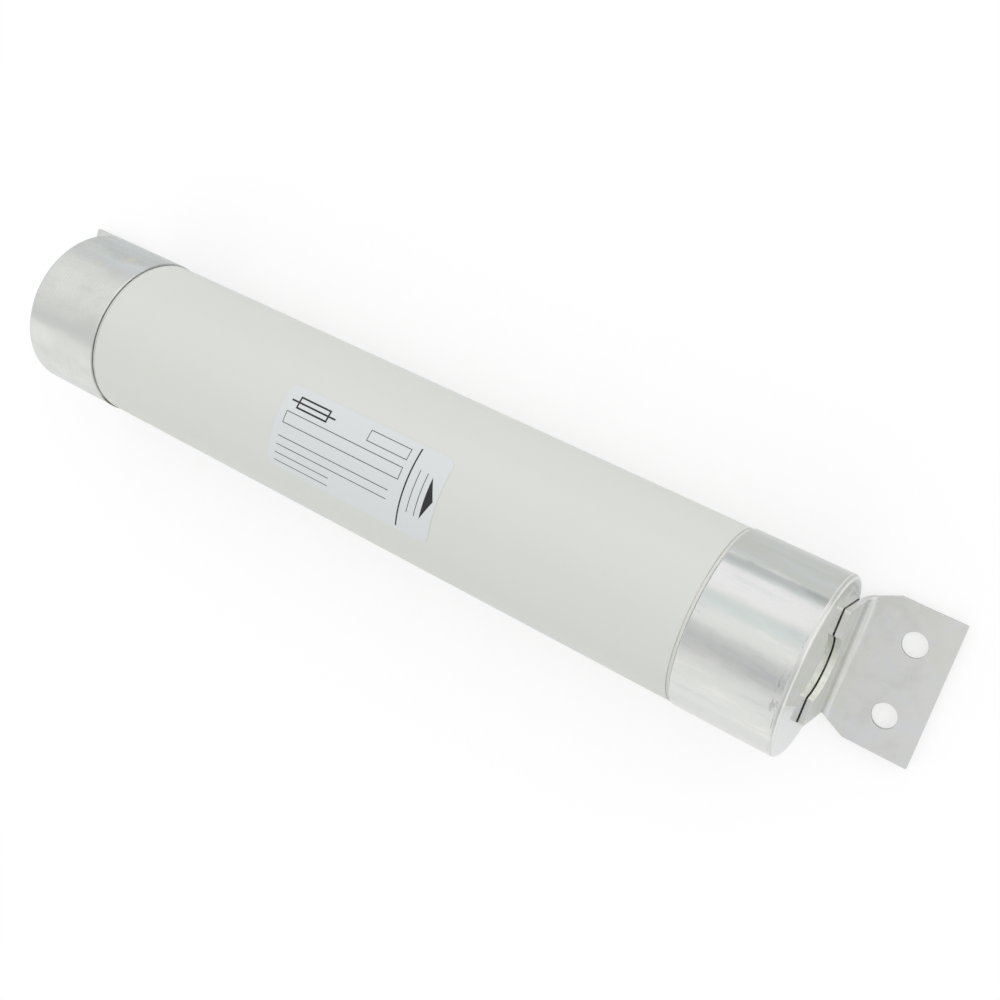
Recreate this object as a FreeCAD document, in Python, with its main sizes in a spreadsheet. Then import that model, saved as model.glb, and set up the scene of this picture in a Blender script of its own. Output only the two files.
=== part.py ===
import FreeCAD, Part
import math
import os

import Sketcher
from FreeCAD import Matrix, Placement, Rotation, Vector

# High-voltage fuse link with a fixing tag on each cap and a spring-loaded striker.
# X runs along the barrel towards the striker end, Z points away from the tag blades.
# The origin is the middle of the barrel on its axis.

doc = FreeCAD.newDocument("fuse_link")

# Driving dimensions in millimetres
SIZES = [
    ("body_length", 403.0),
    ("barrel_od", 76.2),
    ("barrel_wall", 7.1),
    ("groove_width", 1.8),
    ("bevel_drop", 0.5),
    ("mouth_gap", 0.3),
    ("cap_length", 44.0),
    ("cap_proud", 0.5),
    ("cap_wall", 1.2),
    ("cap_rim_round", 2.2),
    ("inner_cap_length", 37.0),
    ("inner_cap_wall", 1.0),
    ("gasket_thick", 1.5),
    ("gasket_inset", 0.5),
    ("seat_gap", 0.1),
    ("braze_thick", 0.35),
    ("braze_inset", 1.5),
    ("braze_side_inset", 0.3),
    ("tag_sheet", 2.5),
    ("tag_bend", 3.0),
    ("tag_reach", 41.0),
    ("tag_width", 63.5),
    ("tag_shoulder", 10.7),
    ("foot_width", 50.0),
    ("foot_base_width", 51.0),
    ("foot_drop", 1.5),
    ("foot_corner", 1.5),
    ("blade_inset", 2.8),
    ("notch_radius", 13.3),
    ("bolt_offset", 25.4),
    ("bolt_spacing", 31.75),
    ("bolt_hole_d", 10.7),
    ("hub_od", 31.0),
    ("hub_bore", 22.4),
    ("fin_to_bore", 6.5),
    ("fin_thick", 3.5),
    ("ribbon_sink", 1.7),
    ("ribbon_thick", 0.3),
    ("ribbon_width", 5.0),
    ("ribbon_setback", 6.0),
    ("ribbon_play", 0.3),
    ("neck_depth", 1.5),
    ("neck_length", 7.0),
    ("bead_radius", 1.4),
    ("bead_from_neck", 9.0),
    ("collector_thick", 2.0),
    ("lug_thick", 1.0),
    ("lug_width", 8.0),
    ("sand_gap", 0.3),
    ("fill_hole_d", 5.0),
    ("plug_gap", 0.05),
    ("striker_travel", 25.0),
    ("striker_stop_gap", 0.3),
    ("running_gap", 0.05),
    ("seal_d", 13.0),
    ("pin_d", 9.0),
    ("pin_port_gap", 0.3),
    ("flange_thick", 4.0),
    ("flange_gap", 0.3),
    ("tail_d", 6.4),
    ("tail_length", 30.0),
    ("housing_od", 22.0),
    ("housing_wall", 1.2),
    ("housing_length", 75.0),
    ("bush_length", 8.0),
    ("spring_wire", 1.8),
    ("spring_mean_d", 14.4),
    ("wire_d", 0.8),
    ("anchor_length", 20.0),
    ("anchor_side", 8.0),
    ("label_length", 88.0),
    ("label_width", 37.6),
    ("label_corner", 4.0),
    ("label_thick", 0.15),
    ("label_gap", 0.05),
    ("label_x", -2.0),
    ("label_y", 1.1),
]

# Counts. The extra span puts both ends of a ribbon over a lug
FINS = 6
RIBBONS = 2
HALF_TURNS = 6
SPANS = HALF_TURNS * FINS // RIBBONS + 1
SPRING_TURNS = 5
SPRING_STEPS = 10
SPRING_SIDES = 5

# Places and radii worked out from the driving dimensions, all for the striker end
PLACES = [
    ("end_x", "sizes.body_length / 2"),
    ("barrel_r", "sizes.barrel_od / 2"),
    ("bore_r", "places.barrel_r - sizes.barrel_wall"),
    ("cap_r", "places.barrel_r + sizes.cap_proud"),
    ("cap_inner_r", "places.cap_r - sizes.cap_wall"),
    ("cap_inner_x", "places.end_x - sizes.cap_wall"),
    ("cap_mouth_x", "places.end_x - sizes.cap_length"),
    ("shoulder_x", "places.cap_mouth_x - sizes.groove_width"),
    ("bevel_x", "places.cap_mouth_x - sizes.mouth_gap"),
    ("bevel_r", "places.barrel_r - sizes.bevel_drop"),
    ("inner_cap_r", "places.cap_inner_r - sizes.seat_gap"),
    ("inner_cap_bore_r", "places.inner_cap_r - sizes.inner_cap_wall"),
    ("inner_face_x", "places.cap_inner_x - sizes.inner_cap_wall"),
    ("inner_cap_mouth_x", "places.cap_inner_x - sizes.inner_cap_length"),
    ("spigot_r", "places.inner_cap_bore_r - sizes.seat_gap"),
    ("barrel_end_x", "places.inner_face_x - sizes.gasket_thick"),
    ("gasket_r", "places.spigot_r - sizes.gasket_inset"),
    ("foot_back_x", "places.end_x + sizes.braze_thick"),
    ("foot_face_x", "places.foot_back_x + sizes.tag_sheet"),
    ("blade_tip_x", "places.end_x + sizes.tag_reach"),
    ("blade_under_z", "-places.cap_r + sizes.blade_inset"),
    ("blade_top_z", "places.blade_under_z + sizes.tag_sheet"),
    ("bend_top_z", "places.blade_top_z + sizes.tag_bend"),
    ("shoulder_run", "sizes.braze_thick + sizes.tag_sheet + sizes.tag_shoulder"),
    ("shoulder_rise", "(sizes.tag_width - sizes.foot_base_width) / 2"),
    ("bend_run", "sizes.braze_thick + sizes.tag_sheet + sizes.tag_bend"),
    ("bend_rise", "places.shoulder_rise * places.bend_run / places.shoulder_run"),
    ("bolt_x", "places.end_x + sizes.bolt_offset"),
    ("hub_r", "sizes.hub_od / 2"),
    ("hub_bore_r", "sizes.hub_bore / 2"),
    ("fin_tip_r", "places.bore_r - sizes.fin_to_bore"),
    ("ribbon_seat_r", "places.fin_tip_r - sizes.ribbon_sink"),
    ("fin_end_x", "places.inner_face_x - sizes.collector_thick"),
    ("ribbon_end_x", "places.fin_end_x - sizes.ribbon_setback"),
    ("housing_r", "sizes.housing_od / 2"),
    ("housing_inner_r", "places.housing_r - sizes.housing_wall"),
    ("housing_back_x", "places.inner_face_x - sizes.housing_length"),
    ("spring_seat_x", "places.housing_back_x + sizes.housing_wall"),
    ("bush_back_x", "places.inner_face_x - sizes.bush_length"),
    ("flange_face_x", "places.bush_back_x - sizes.striker_stop_gap - sizes.striker_travel"),
    ("flange_back_x", "places.flange_face_x - sizes.flange_thick"),
    ("tail_x", "places.flange_back_x - sizes.tail_length"),
    ("pin_r", "sizes.pin_d / 2"),
    ("tail_r", "sizes.tail_d / 2"),
    ("wire_hole_r", "sizes.wire_d / 2 + sizes.running_gap"),
    ("fill_r", "(places.fin_tip_r + sizes.sand_gap + places.bore_r) / 2"),
    ("label_back_r", "places.barrel_r + sizes.label_gap"),
]


def make_sheet(name, cells):
    sheet = doc.addObject("Spreadsheet::Sheet", name)
    for row, (alias, content) in enumerate(cells, start=1):
        sheet.set(f"A{row}", alias)
        sheet.set(f"B{row}", content)
        sheet.setAlias(f"B{row}", alias)
    return sheet


sizes = make_sheet("sizes", [(alias, str(number)) for alias, number in SIZES])
places = make_sheet("places", [(alias, "=" + formula.replace("places.", "")) for alias, formula in PLACES])
doc.recompute()


def value(text):
    """The number that an expression over the two sheets gives now."""
    number = sizes.evalExpression(text)
    return float(getattr(number, "Value", number))


def new_body(label):
    body = doc.addObject("PartDesign::Body", label)
    body.Label = label
    return body


def origin_feature(body, role):
    return next(item for item in body.Origin.OriginFeatures if item.Role == role)


def new_sketch(body, name, plane, offset=None):
    sketch = body.newObject("Sketcher::SketchObject", name)
    sketch.AttachmentSupport = [(origin_feature(body, plane), "")]
    sketch.MapMode = "FlatFace"
    if offset:
        sketch.setExpression("AttachmentOffset.Base.z", offset)
    return sketch


def fix_point(sketch, edge, point, across, up):
    """Ties a point to two expressions. A coordinate of 0 lies on the sketch's axis."""
    for kind, axis, text in (("DistanceX", -2, across), ("DistanceY", -1, up)):
        if text == "0":
            sketch.addConstraint(Sketcher.Constraint("PointOnObject", edge, point, axis))
        else:
            index = sketch.addConstraint(Sketcher.Constraint(kind, -1, 1, edge, point, value(text)))
            sketch.setExpression(f"Constraints[{index}]", text)


def draw_outline(sketch, points):
    """Adds a closed outline of straight edges through pairs of expressions."""
    first = sketch.GeometryCount
    count = len(points)
    corners = [Vector(value(across), value(up), 0) for across, up in points]
    for start, end in zip(corners, corners[1:] + corners[:1]):
        sketch.addGeometry(Part.LineSegment(start, end), False)
    for index in range(count):
        following = first + (index + 1) % count
        sketch.addConstraint(Sketcher.Constraint("Coincident", first + index, 2, following, 1))
    for index, (across, up) in enumerate(points):
        fix_point(sketch, first + index, 1, across, up)


def draw_circle(sketch, radius, across="0", up="0"):
    centre = Vector(value(across), value(up), 0)
    edge = sketch.addGeometry(Part.Circle(centre, Vector(0, 0, 1), value(radius)), False)
    index = sketch.addConstraint(Sketcher.Constraint("Radius", edge, value(radius)))
    sketch.setExpression(f"Constraints[{index}]", radius)
    fix_point(sketch, edge, 3, across, up)


def pad(body, sketch, length, midplane=False):
    feature = body.newObject("PartDesign::Pad", sketch.Name + "_pad")
    feature.Profile = sketch
    feature.setExpression("Length", length)
    if midplane:
        feature.SideType = "Symmetric"
    body.Tip = feature
    doc.recompute()
    return feature


def pocket_through(body, sketch, both_sides=True):
    """Cuts the sketch right through the body, on both sides of its plane or only below it."""
    before = body.Shape.Volume
    feature = body.newObject("PartDesign::Pocket", sketch.Name + "_pocket")
    feature.Profile = sketch
    if both_sides:
        feature.SideType = "Symmetric"
    feature.Type = "ThroughAll"
    body.Tip = feature
    doc.recompute()
    if body.Shape.Volume >= before:
        raise ValueError(sketch.Name + " cuts nothing")
    return feature


def polar_pattern(body, feature, count):
    """Repeats a feature round the X axis."""
    pattern = body.newObject("PartDesign::PolarPattern", feature.Name + "_round")
    pattern.Originals = [feature]
    pattern.Axis = (origin_feature(body, "X_Axis"), [""])
    pattern.Angle = 360
    pattern.Occurrences = count
    body.Tip = pattern
    doc.recompute()
    return pattern


def round_edges(body, name, radius, wanted):
    """Fillets the edges of the body that the test picks out."""
    base = body.Tip
    picked = [f"Edge{number}" for number, edge in enumerate(base.Shape.Edges, start=1) if wanted(edge)]
    feature = body.newObject("PartDesign::Fillet", name)
    feature.Base = (base, picked)
    feature.setExpression("Radius", radius)
    body.Tip = feature
    doc.recompute()
    return feature


def turned(label, points):
    """A body of revolution about X. Points are pairs of expressions, x and radius."""
    body = new_body(label)
    sketch = new_sketch(body, label + "_profile", "XZ_Plane")
    draw_outline(sketch, points)
    feature = body.newObject("PartDesign::Revolution", label + "_turned")
    feature.Profile = sketch
    feature.ReferenceAxis = (sketch, ["H_Axis"])
    feature.Angle = 360
    body.Tip = feature
    doc.recompute()
    return body


def flat_face(points):
    return Part.Face(Part.makePolygon(points + points[:1]))


def solid_of(faces):
    """The closed solid that a set of flat faces bounds."""
    shell = Part.Shell(faces)
    shell.sewShape()
    solid = Part.Solid(Part.Shell(shell.Faces))
    if solid.Volume < 0:
        solid.reverse()
    return solid


def turn_to_left(body):
    """Swings a piece made for the striker end round to the other end."""
    body.Placement = Placement(Vector(0, 0, 0), Rotation(Vector(0, 0, 1), 180))


def pair(make, name):
    """A piece at the striker end and its twin at the other end."""
    right = make(name + "_right")
    left = make(name + "_left")
    turn_to_left(left)
    return [right, left]


def group(label, members):
    """One piece made of alike solids that stay apart."""
    compound = doc.addObject("Part::Compound", label)
    compound.Links = members
    compound.Label = label


# Barrel and closures

def make_barrel():
    """Tube with a bevel beside each cap's mouth and a spigot for the inner cap."""
    half = [
        ("shoulder_x", "places.barrel_r"),
        ("bevel_x", "places.bevel_r"),
        ("bevel_x", "places.spigot_r"),
        ("barrel_end_x", "places.spigot_r"),
        ("barrel_end_x", "places.bore_r"),
    ]
    right = [("places." + x, radius) for x, radius in half]
    left = [("-places." + x, radius) for x, radius in reversed(half)]
    turned("ceramic_barrel", right + left)


def make_outer_cap(label, hole_r):
    """Drawn cup with a rounded rim in two facets. A hole radius of 0 leaves its end whole."""
    middle = "sizes.cap_rim_round * (1 - cos(45 deg))"
    return turned(label, [
        ("places.cap_mouth_x", "places.cap_inner_r"),
        ("places.cap_inner_x", "places.cap_inner_r"),
        ("places.cap_inner_x", hole_r),
        ("places.end_x", hole_r),
        ("places.end_x", "places.cap_r - sizes.cap_rim_round"),
        (f"places.end_x - {middle}", f"places.cap_r - {middle}"),
        ("places.end_x - sizes.cap_rim_round", "places.cap_r"),
        ("places.cap_mouth_x", "places.cap_r"),
    ])


def make_inner_cap(label, hole_r):
    return turned(label, [
        ("places.inner_cap_mouth_x", "places.inner_cap_bore_r"),
        ("places.inner_face_x", "places.inner_cap_bore_r"),
        ("places.inner_face_x", hole_r),
        ("places.cap_inner_x", hole_r),
        ("places.cap_inner_x", "places.inner_cap_r"),
        ("places.inner_cap_mouth_x", "places.inner_cap_r"),
    ])


def make_gasket(label):
    return turned(label, [
        ("places.barrel_end_x", "places.bore_r"),
        ("places.inner_face_x", "places.bore_r"),
        ("places.inner_face_x", "places.gasket_r"),
        ("places.barrel_end_x", "places.gasket_r"),
    ])


def make_closures():
    holed = make_outer_cap("outer_cap_right", "sizes.seal_d / 2 + sizes.running_gap")
    blind = make_outer_cap("outer_cap_left", "0")
    turn_to_left(blind)
    group("outer_caps", [holed, blind])
    open_cap = make_inner_cap("inner_cap_right", "places.pin_r + sizes.pin_port_gap")
    filled_cap = make_inner_cap("inner_cap_left", "0")
    port = new_sketch(filled_cap, "fill_port", "YZ_Plane")
    draw_circle(port, "sizes.fill_hole_d / 2", "0", "places.fill_r")
    pocket_through(filled_cap, port)
    turn_to_left(filled_cap)
    group("inner_caps", [open_cap, filled_cap])
    group("gaskets", pair(make_gasket, "gasket"))
    plug = new_body("filling_plug")
    sketch = new_sketch(plug, "plug_disc", "YZ_Plane", "places.inner_face_x")
    draw_circle(sketch, "sizes.fill_hole_d / 2 - sizes.plug_gap", "0", "places.fill_r")
    pad(plug, sketch, "sizes.inner_cap_wall")
    turn_to_left(plug)


# Fixing tags

def make_tag(label):
    """Bent sheet: a foot that widens a little, and shoulders that slope out from the bend to the blade."""
    body = new_body(label)
    side = new_sketch(body, label + "_side", "XZ_Plane")
    draw_outline(side, [
        ("places.foot_back_x", "-sizes.foot_drop"),
        ("places.foot_face_x", "-sizes.foot_drop"),
        ("places.foot_face_x", "places.blade_top_z"),
        ("places.blade_tip_x", "places.blade_top_z"),
        ("places.blade_tip_x", "places.blade_under_z"),
        ("places.foot_back_x", "places.blade_under_z"),
    ])
    pad(body, side, "sizes.tag_width", midplane=True)

    def inside_bend(edge):
        box = edge.BoundBox
        at_face = abs(box.XMin - value("places.foot_face_x")) < 1e-3
        return at_face and abs(box.ZMin - value("places.blade_top_z")) < 1e-3 and box.YLength > 1

    def outside_bend(edge):
        box = edge.BoundBox
        at_back = abs(box.XMax - value("places.foot_back_x")) < 1e-3
        return at_back and abs(box.ZMax - value("places.blade_under_z")) < 1e-3 and box.YLength > 1

    round_edges(body, label + "_inside_bend", "sizes.tag_bend", inside_bend)
    round_edges(body, label + "_outside_bend", "sizes.tag_bend + sizes.tag_sheet", outside_bend)

    plan = new_sketch(body, label + "_shoulders", "XY_Plane", "places.bend_top_z")
    front = new_sketch(body, label + "_foot_sides", "YZ_Plane")
    shoulder_end = "places.foot_face_x + sizes.tag_shoulder"
    for sign in ("", "-"):
        draw_outline(plan, [
            ("places.end_x", f"{sign}sizes.foot_base_width / 2"),
            (shoulder_end, f"{sign}sizes.tag_width / 2"),
            (shoulder_end, f"{sign}sizes.tag_width"),
            ("places.end_x", f"{sign}sizes.tag_width"),
        ])
        draw_outline(front, [
            (f"{sign}sizes.foot_width / 2", "0"),
            (f"{sign}sizes.foot_width / 2", "-sizes.foot_drop"),
            (f"{sign}sizes.foot_base_width / 2", "places.bend_top_z"),
            (f"{sign}(sizes.foot_base_width / 2 + places.bend_rise)", "places.blade_top_z"),
            (f"{sign}sizes.tag_width", "places.blade_top_z"),
            (f"{sign}sizes.tag_width", "0"),
        ])
    pocket_through(body, plan, both_sides=False)
    pocket_through(body, front)

    notch = new_sketch(body, label + "_notch", "YZ_Plane")
    draw_circle(notch, "sizes.notch_radius")
    pocket_through(body, notch)

    bolts = new_sketch(body, label + "_bolts", "XY_Plane")
    for sign in ("", "-"):
        draw_circle(bolts, "sizes.bolt_hole_d / 2", "places.bolt_x", f"{sign}sizes.bolt_spacing / 2")
    pocket_through(body, bolts)

    def foot_corner(edge):
        box = edge.BoundBox
        at_side = abs(max(box.YMax, -box.YMin) - value("sizes.foot_width / 2")) < 1e-3
        return at_side and box.YLength < 1e-3 and abs(box.ZMin + value("sizes.foot_drop")) < 1e-3

    round_edges(body, label + "_foot_corners", "sizes.foot_corner", foot_corner)
    return body


def make_braze(label):
    """Thin layer under the foot, set back a little at the sides and more along the top."""
    body = new_body(label)
    sheet = new_sketch(body, label + "_sheet", "YZ_Plane", "places.end_x")
    half_width = "sizes.foot_width / 2 - sizes.braze_side_inset"
    draw_outline(sheet, [
        (half_width, "-sizes.foot_drop - sizes.braze_inset"),
        (half_width, "places.bend_top_z"),
        ("-(" + half_width + ")", "places.bend_top_z"),
        ("-(" + half_width + ")", "-sizes.foot_drop - sizes.braze_inset"),
    ])
    pad(body, sheet, "sizes.braze_thick")
    notch = new_sketch(body, label + "_notch", "YZ_Plane")
    draw_circle(notch, "sizes.notch_radius + sizes.braze_inset")
    pocket_through(body, notch)
    return body


def make_tags():
    pair(make_tag, "tag")
    group("tag_brazes", pair(make_braze, "braze"))


# Star former and the ribbons wound on it

def crest_direction(crest):
    """Unit vector from the axis to a crest. Neighbouring crests are one fin apart."""
    angle = math.radians(60 + 360 * crest / FINS)
    return Vector(0, math.cos(angle), math.sin(angle))


def ribbon_point(crest, fraction, radius, shift, start):
    """A point on the flat span between one crest and the next."""
    advance = 2 * value("places.ribbon_end_x") / SPANS
    along = -value("places.ribbon_end_x") + (crest + fraction) * advance + shift
    from_axis = crest_direction(crest + start) * (1 - fraction)
    from_axis += crest_direction(crest + start + 1) * fraction
    return Vector(along, 0, 0) + from_axis * radius


def ribbon_solid(start, inner_r, outer_r, width, stations):
    """A ribbon folded over every crest. Stations are pairs: fraction of a span, depth of the neck."""
    faces = []

    def corner(crest, station, radius, side):
        fraction, depth = station
        return ribbon_point(crest, fraction, radius, side * (width / 2 - depth), start)

    for crest in range(SPANS):
        for radius in (inner_r, outer_r):
            near = [corner(crest, station, radius, -1) for station in stations]
            far = [corner(crest, station, radius, 1) for station in reversed(stations)]
            faces.append(flat_face(near + far))
        for side in (-1, 1):
            for first, second in zip(stations, stations[1:]):
                a = corner(crest, first, inner_r, side)
                b = corner(crest, first, outer_r, side)
                c = corner(crest, second, outer_r, side)
                d = corner(crest, second, inner_r, side)
                faces.append(flat_face([a, b, c]))
                faces.append(flat_face([a, c, d]))
    for crest, station in ((0, stations[0]), (SPANS - 1, stations[-1])):
        faces.append(flat_face([
            corner(crest, station, inner_r, -1),
            corner(crest, station, outer_r, -1),
            corner(crest, station, outer_r, 1),
            corner(crest, station, inner_r, 1),
        ]))
    return solid_of(faces)


def make_former():
    """Ceramic core: a hub with fins, notched where each ribbon crosses a crest."""
    blank = new_body("former_blank")
    hub = new_sketch(blank, "former_hub", "YZ_Plane")
    draw_circle(hub, "places.hub_r")
    pad(blank, hub, "2 * places.inner_face_x", midplane=True)
    fin = new_sketch(blank, "former_fin", "YZ_Plane")
    root_r = "places.hub_bore_r + (places.hub_r - places.hub_bore_r) / 2"
    draw_outline(fin, [
        (root_r, "-sizes.fin_thick / 2"),
        ("places.fin_tip_r", "-sizes.fin_thick / 2"),
        ("places.fin_tip_r", "sizes.fin_thick / 2"),
        (root_r, "sizes.fin_thick / 2"),
    ])
    polar_pattern(blank, pad(blank, fin, "2 * places.fin_end_x", midplane=True), FINS)
    bore = new_sketch(blank, "former_bore", "YZ_Plane")
    draw_circle(bore, "places.hub_bore_r")
    pocket_through(blank, bore)

    paths = doc.addObject("Part::Feature", "ribbon_paths")
    floor_r = value("places.ribbon_seat_r - sizes.running_gap")
    slot_width = value("sizes.ribbon_width + 2 * sizes.ribbon_play")
    past_tip_r = value("2 * places.fin_tip_r - places.ribbon_seat_r")
    paths.Shape = Part.makeCompound([
        ribbon_solid(start, floor_r, past_tip_r, slot_width, [(0, 0), (1, 0)])
        for start in range(0, FINS, FINS // RIBBONS)
    ])
    former = doc.addObject("Part::Cut", "element_former")
    former.Base = blank
    former.Tool = paths
    former.Label = "element_former"


def make_elements():
    """Silver ribbons with a neck in the middle of each span, and a tin bead beside the middle neck."""
    seat = value("places.ribbon_seat_r")
    outside = value("places.ribbon_seat_r + sizes.ribbon_thick")
    width = value("sizes.ribbon_width")
    span = (ribbon_point(1, 0, seat, 0, 0) - ribbon_point(0, 0, seat, 0, 0)).Length
    to_neck = value("sizes.neck_length / 2") / span
    stations = [(0, 0), (0.5 - to_neck, 0), (0.5, value("sizes.neck_depth")), (0.5 + to_neck, 0), (1, 0)]
    bead_at = 0.5 - value("sizes.bead_from_neck") / span
    middle = SPANS // 2
    for number, letter in enumerate("abcdef"[:RIBBONS]):
        start = number * FINS // RIBBONS
        ribbon = doc.addObject("Part::Feature", "fuse_element_" + letter)
        ribbon.Shape = ribbon_solid(start, seat, outside, width, stations)
        ribbon.Label = "fuse_element_" + letter

        bead = doc.addObject("Part::Cylinder", "tin_bead_" + letter)
        bead.setExpression("Radius", "sizes.bead_radius")
        bead.setExpression("Height", "sizes.ribbon_width")
        bead.Angle = 180
        bead.Label = "tin_bead_" + letter
        near_edge = ribbon_point(middle, bead_at, outside, -width / 2, start)
        over = ribbon_point(middle, 0.5, outside, 0, start)
        out = Vector(0, over.y, over.z).normalize()
        across = Vector(1, 0, 0)
        along = out.cross(across)
        turn = Matrix(along.x, out.x, across.x, near_edge.x,
                      along.y, out.y, across.y, near_edge.y,
                      along.z, out.z, across.z, near_edge.z,
                      0, 0, 0, 1)
        bead.Placement = Placement(turn)


def make_collector(label):
    """Contact plate round the former's hub, with one lug for each ribbon's end."""
    body = turned(label, [
        ("places.inner_face_x", "places.hub_r + sizes.seat_gap"),
        ("places.inner_face_x", "places.fin_tip_r"),
        ("places.fin_end_x", "places.fin_tip_r"),
        ("places.fin_end_x", "places.hub_r + sizes.seat_gap"),
    ])
    flat = f"places.ribbon_seat_r * cos(180 deg / {FINS})"
    lug = new_sketch(body, label + "_lug", "XY_Plane", flat + " - sizes.lug_thick")
    tip_x = f"places.ribbon_end_x - places.ribbon_end_x / {SPANS} - sizes.ribbon_width"
    draw_outline(lug, [
        ("places.fin_end_x + sizes.collector_thick / 2", "-sizes.lug_width / 2"),
        (tip_x, "-sizes.lug_width / 2"),
        (tip_x, "sizes.lug_width / 2"),
        ("places.fin_end_x + sizes.collector_thick / 2", "sizes.lug_width / 2"),
    ])
    polar_pattern(body, pad(body, lug, "sizes.lug_thick"), RIBBONS)
    return body


def make_sand():
    turned("quartz_sand", [
        ("-places.inner_face_x", "places.fin_tip_r + sizes.sand_gap"),
        ("places.inner_face_x", "places.fin_tip_r + sizes.sand_gap"),
        ("places.inner_face_x", "places.bore_r - sizes.seat_gap"),
        ("-places.inner_face_x", "places.bore_r - sizes.seat_gap"),
    ])


# Striker, on the axis inside the former's right end

def make_striker():
    turned("striker_housing", [
        ("places.housing_back_x", "places.wire_hole_r"),
        ("places.housing_back_x", "places.housing_r"),
        ("places.inner_face_x", "places.housing_r"),
        ("places.inner_face_x", "places.housing_inner_r"),
        ("places.spring_seat_x", "places.housing_inner_r"),
        ("places.spring_seat_x", "places.wire_hole_r"),
    ])
    turned("striker_bush", [
        ("places.bush_back_x", "places.pin_r + sizes.running_gap"),
        ("places.inner_face_x", "places.pin_r + sizes.running_gap"),
        ("places.inner_face_x", "places.housing_inner_r - sizes.seat_gap"),
        ("places.bush_back_x", "places.housing_inner_r - sizes.seat_gap"),
    ])
    turned("striker_pin", [
        ("places.tail_x", "0"),
        ("places.tail_x", "places.tail_r"),
        ("places.flange_back_x", "places.tail_r"),
        ("places.flange_back_x", "places.housing_inner_r - sizes.flange_gap"),
        ("places.flange_face_x", "places.housing_inner_r - sizes.flange_gap"),
        ("places.flange_face_x", "places.pin_r"),
        ("places.cap_inner_x", "places.pin_r"),
        ("places.cap_inner_x", "0"),
    ])
    turned("striker_seal", [
        ("places.cap_inner_x", "0"),
        ("places.cap_inner_x", "sizes.seal_d / 2"),
        ("places.end_x", "sizes.seal_d / 2"),
        ("places.end_x", "0"),
    ])


def make_spring():
    """Compression spring round the pin's tail, between the housing's floor and the flange."""
    wire_r = value("sizes.spring_wire / 2")
    mean_r = value("sizes.spring_mean_d / 2")
    first_x = value("places.spring_seat_x + sizes.running_gap") + wire_r
    last_x = value("places.flange_back_x - sizes.running_gap") - wire_r
    steps = SPRING_TURNS * SPRING_STEPS

    def skin_point(step, side):
        turn = 2 * math.pi * step / SPRING_STEPS
        lean = 2 * math.pi * (side + 0.5) / SPRING_SIDES
        radius = mean_r + wire_r * math.cos(lean)
        along = first_x + (last_x - first_x) * step / steps + wire_r * math.sin(lean)
        return Vector(along, radius * math.cos(turn), radius * math.sin(turn))

    faces = []
    for step in range(steps):
        for side in range(SPRING_SIDES):
            a = skin_point(step, side)
            b = skin_point(step, side + 1)
            c = skin_point(step + 1, side + 1)
            d = skin_point(step + 1, side)
            faces.append(flat_face([a, b, c]))
            faces.append(flat_face([a, c, d]))
    for step in (0, steps):
        faces.append(flat_face([skin_point(step, side) for side in range(SPRING_SIDES)]))
    spring = doc.addObject("Part::Feature", "striker_spring")
    spring.Shape = solid_of(faces)
    spring.Label = "striker_spring"


def make_wire():
    """Restraining wire from its anchor to the pin's tail. The anchor is a bar in the hub's left end."""
    anchor = new_body("wire_anchor")
    bar = new_sketch(anchor, "anchor_bar", "YZ_Plane", "places.inner_face_x - sizes.anchor_side")
    draw_outline(bar, [
        ("-sizes.anchor_length / 2", "-sizes.anchor_side / 2"),
        ("sizes.anchor_length / 2", "-sizes.anchor_side / 2"),
        ("sizes.anchor_length / 2", "sizes.anchor_side / 2"),
        ("-sizes.anchor_length / 2", "sizes.anchor_side / 2"),
    ])
    pad(anchor, bar, "sizes.anchor_side")
    hole = new_sketch(anchor, "anchor_hole", "YZ_Plane")
    draw_circle(hole, "places.wire_hole_r")
    pocket_through(anchor, hole)
    turn_to_left(anchor)
    wire = doc.addObject("Part::Cylinder", "striker_wire")
    wire.setExpression("Radius", "sizes.wire_d / 2")
    wire.setExpression("Height", "places.inner_face_x + places.tail_x")
    wire.Placement = Placement(Vector(0, 0, 0), Rotation(Vector(0, 1, 0), 90))
    wire.setExpression("Placement.Base.x", "-places.inner_face_x")
    wire.Label = "striker_wire"


def make_label():
    """Sticker on the barrel: a thin sleeve, kept only over a rounded rectangle."""
    sleeve = turned("label_sleeve", [
        ("-places.end_x", "places.label_back_r"),
        ("places.end_x", "places.label_back_r"),
        ("places.end_x", "places.label_back_r + sizes.label_thick"),
        ("-places.end_x", "places.label_back_r + sizes.label_thick"),
    ])
    block = new_body("label_outline")
    plan = new_sketch(block, "label_plan", "XY_Plane")
    near_x = "sizes.label_x - sizes.label_length / 2"
    far_x = "sizes.label_x + sizes.label_length / 2"
    low_y = "sizes.label_y - sizes.label_width / 2"
    high_y = "sizes.label_y + sizes.label_width / 2"
    draw_outline(plan, [(near_x, low_y), (far_x, low_y), (far_x, high_y), (near_x, high_y)])
    pad(block, plan, "places.cap_r")
    round_edges(block, "label_corners", "sizes.label_corner",
                lambda edge: edge.BoundBox.ZLength > 1)
    label = doc.addObject("Part::Common", "label")
    label.Base = sleeve
    label.Tool = block
    label.Label = "label"


make_barrel()
make_closures()
make_tags()
make_former()
make_elements()
group("collectors", pair(make_collector, "collector"))
make_sand()
make_striker()
make_spring()
make_wire()
make_label()
doc.recompute()


def finished_pieces():
    """Every whole shape that no other piece is made from."""
    part_kinds = ["Part::" + kind for kind in ("Feature", "Cylinder", "Cut", "Common", "Compound")]
    whole = [item for item in doc.Objects if item.TypeId in ["PartDesign::Body", *part_kinds]]
    return [item for item in whole if not any(user in whole for user in item.InList)]


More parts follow.
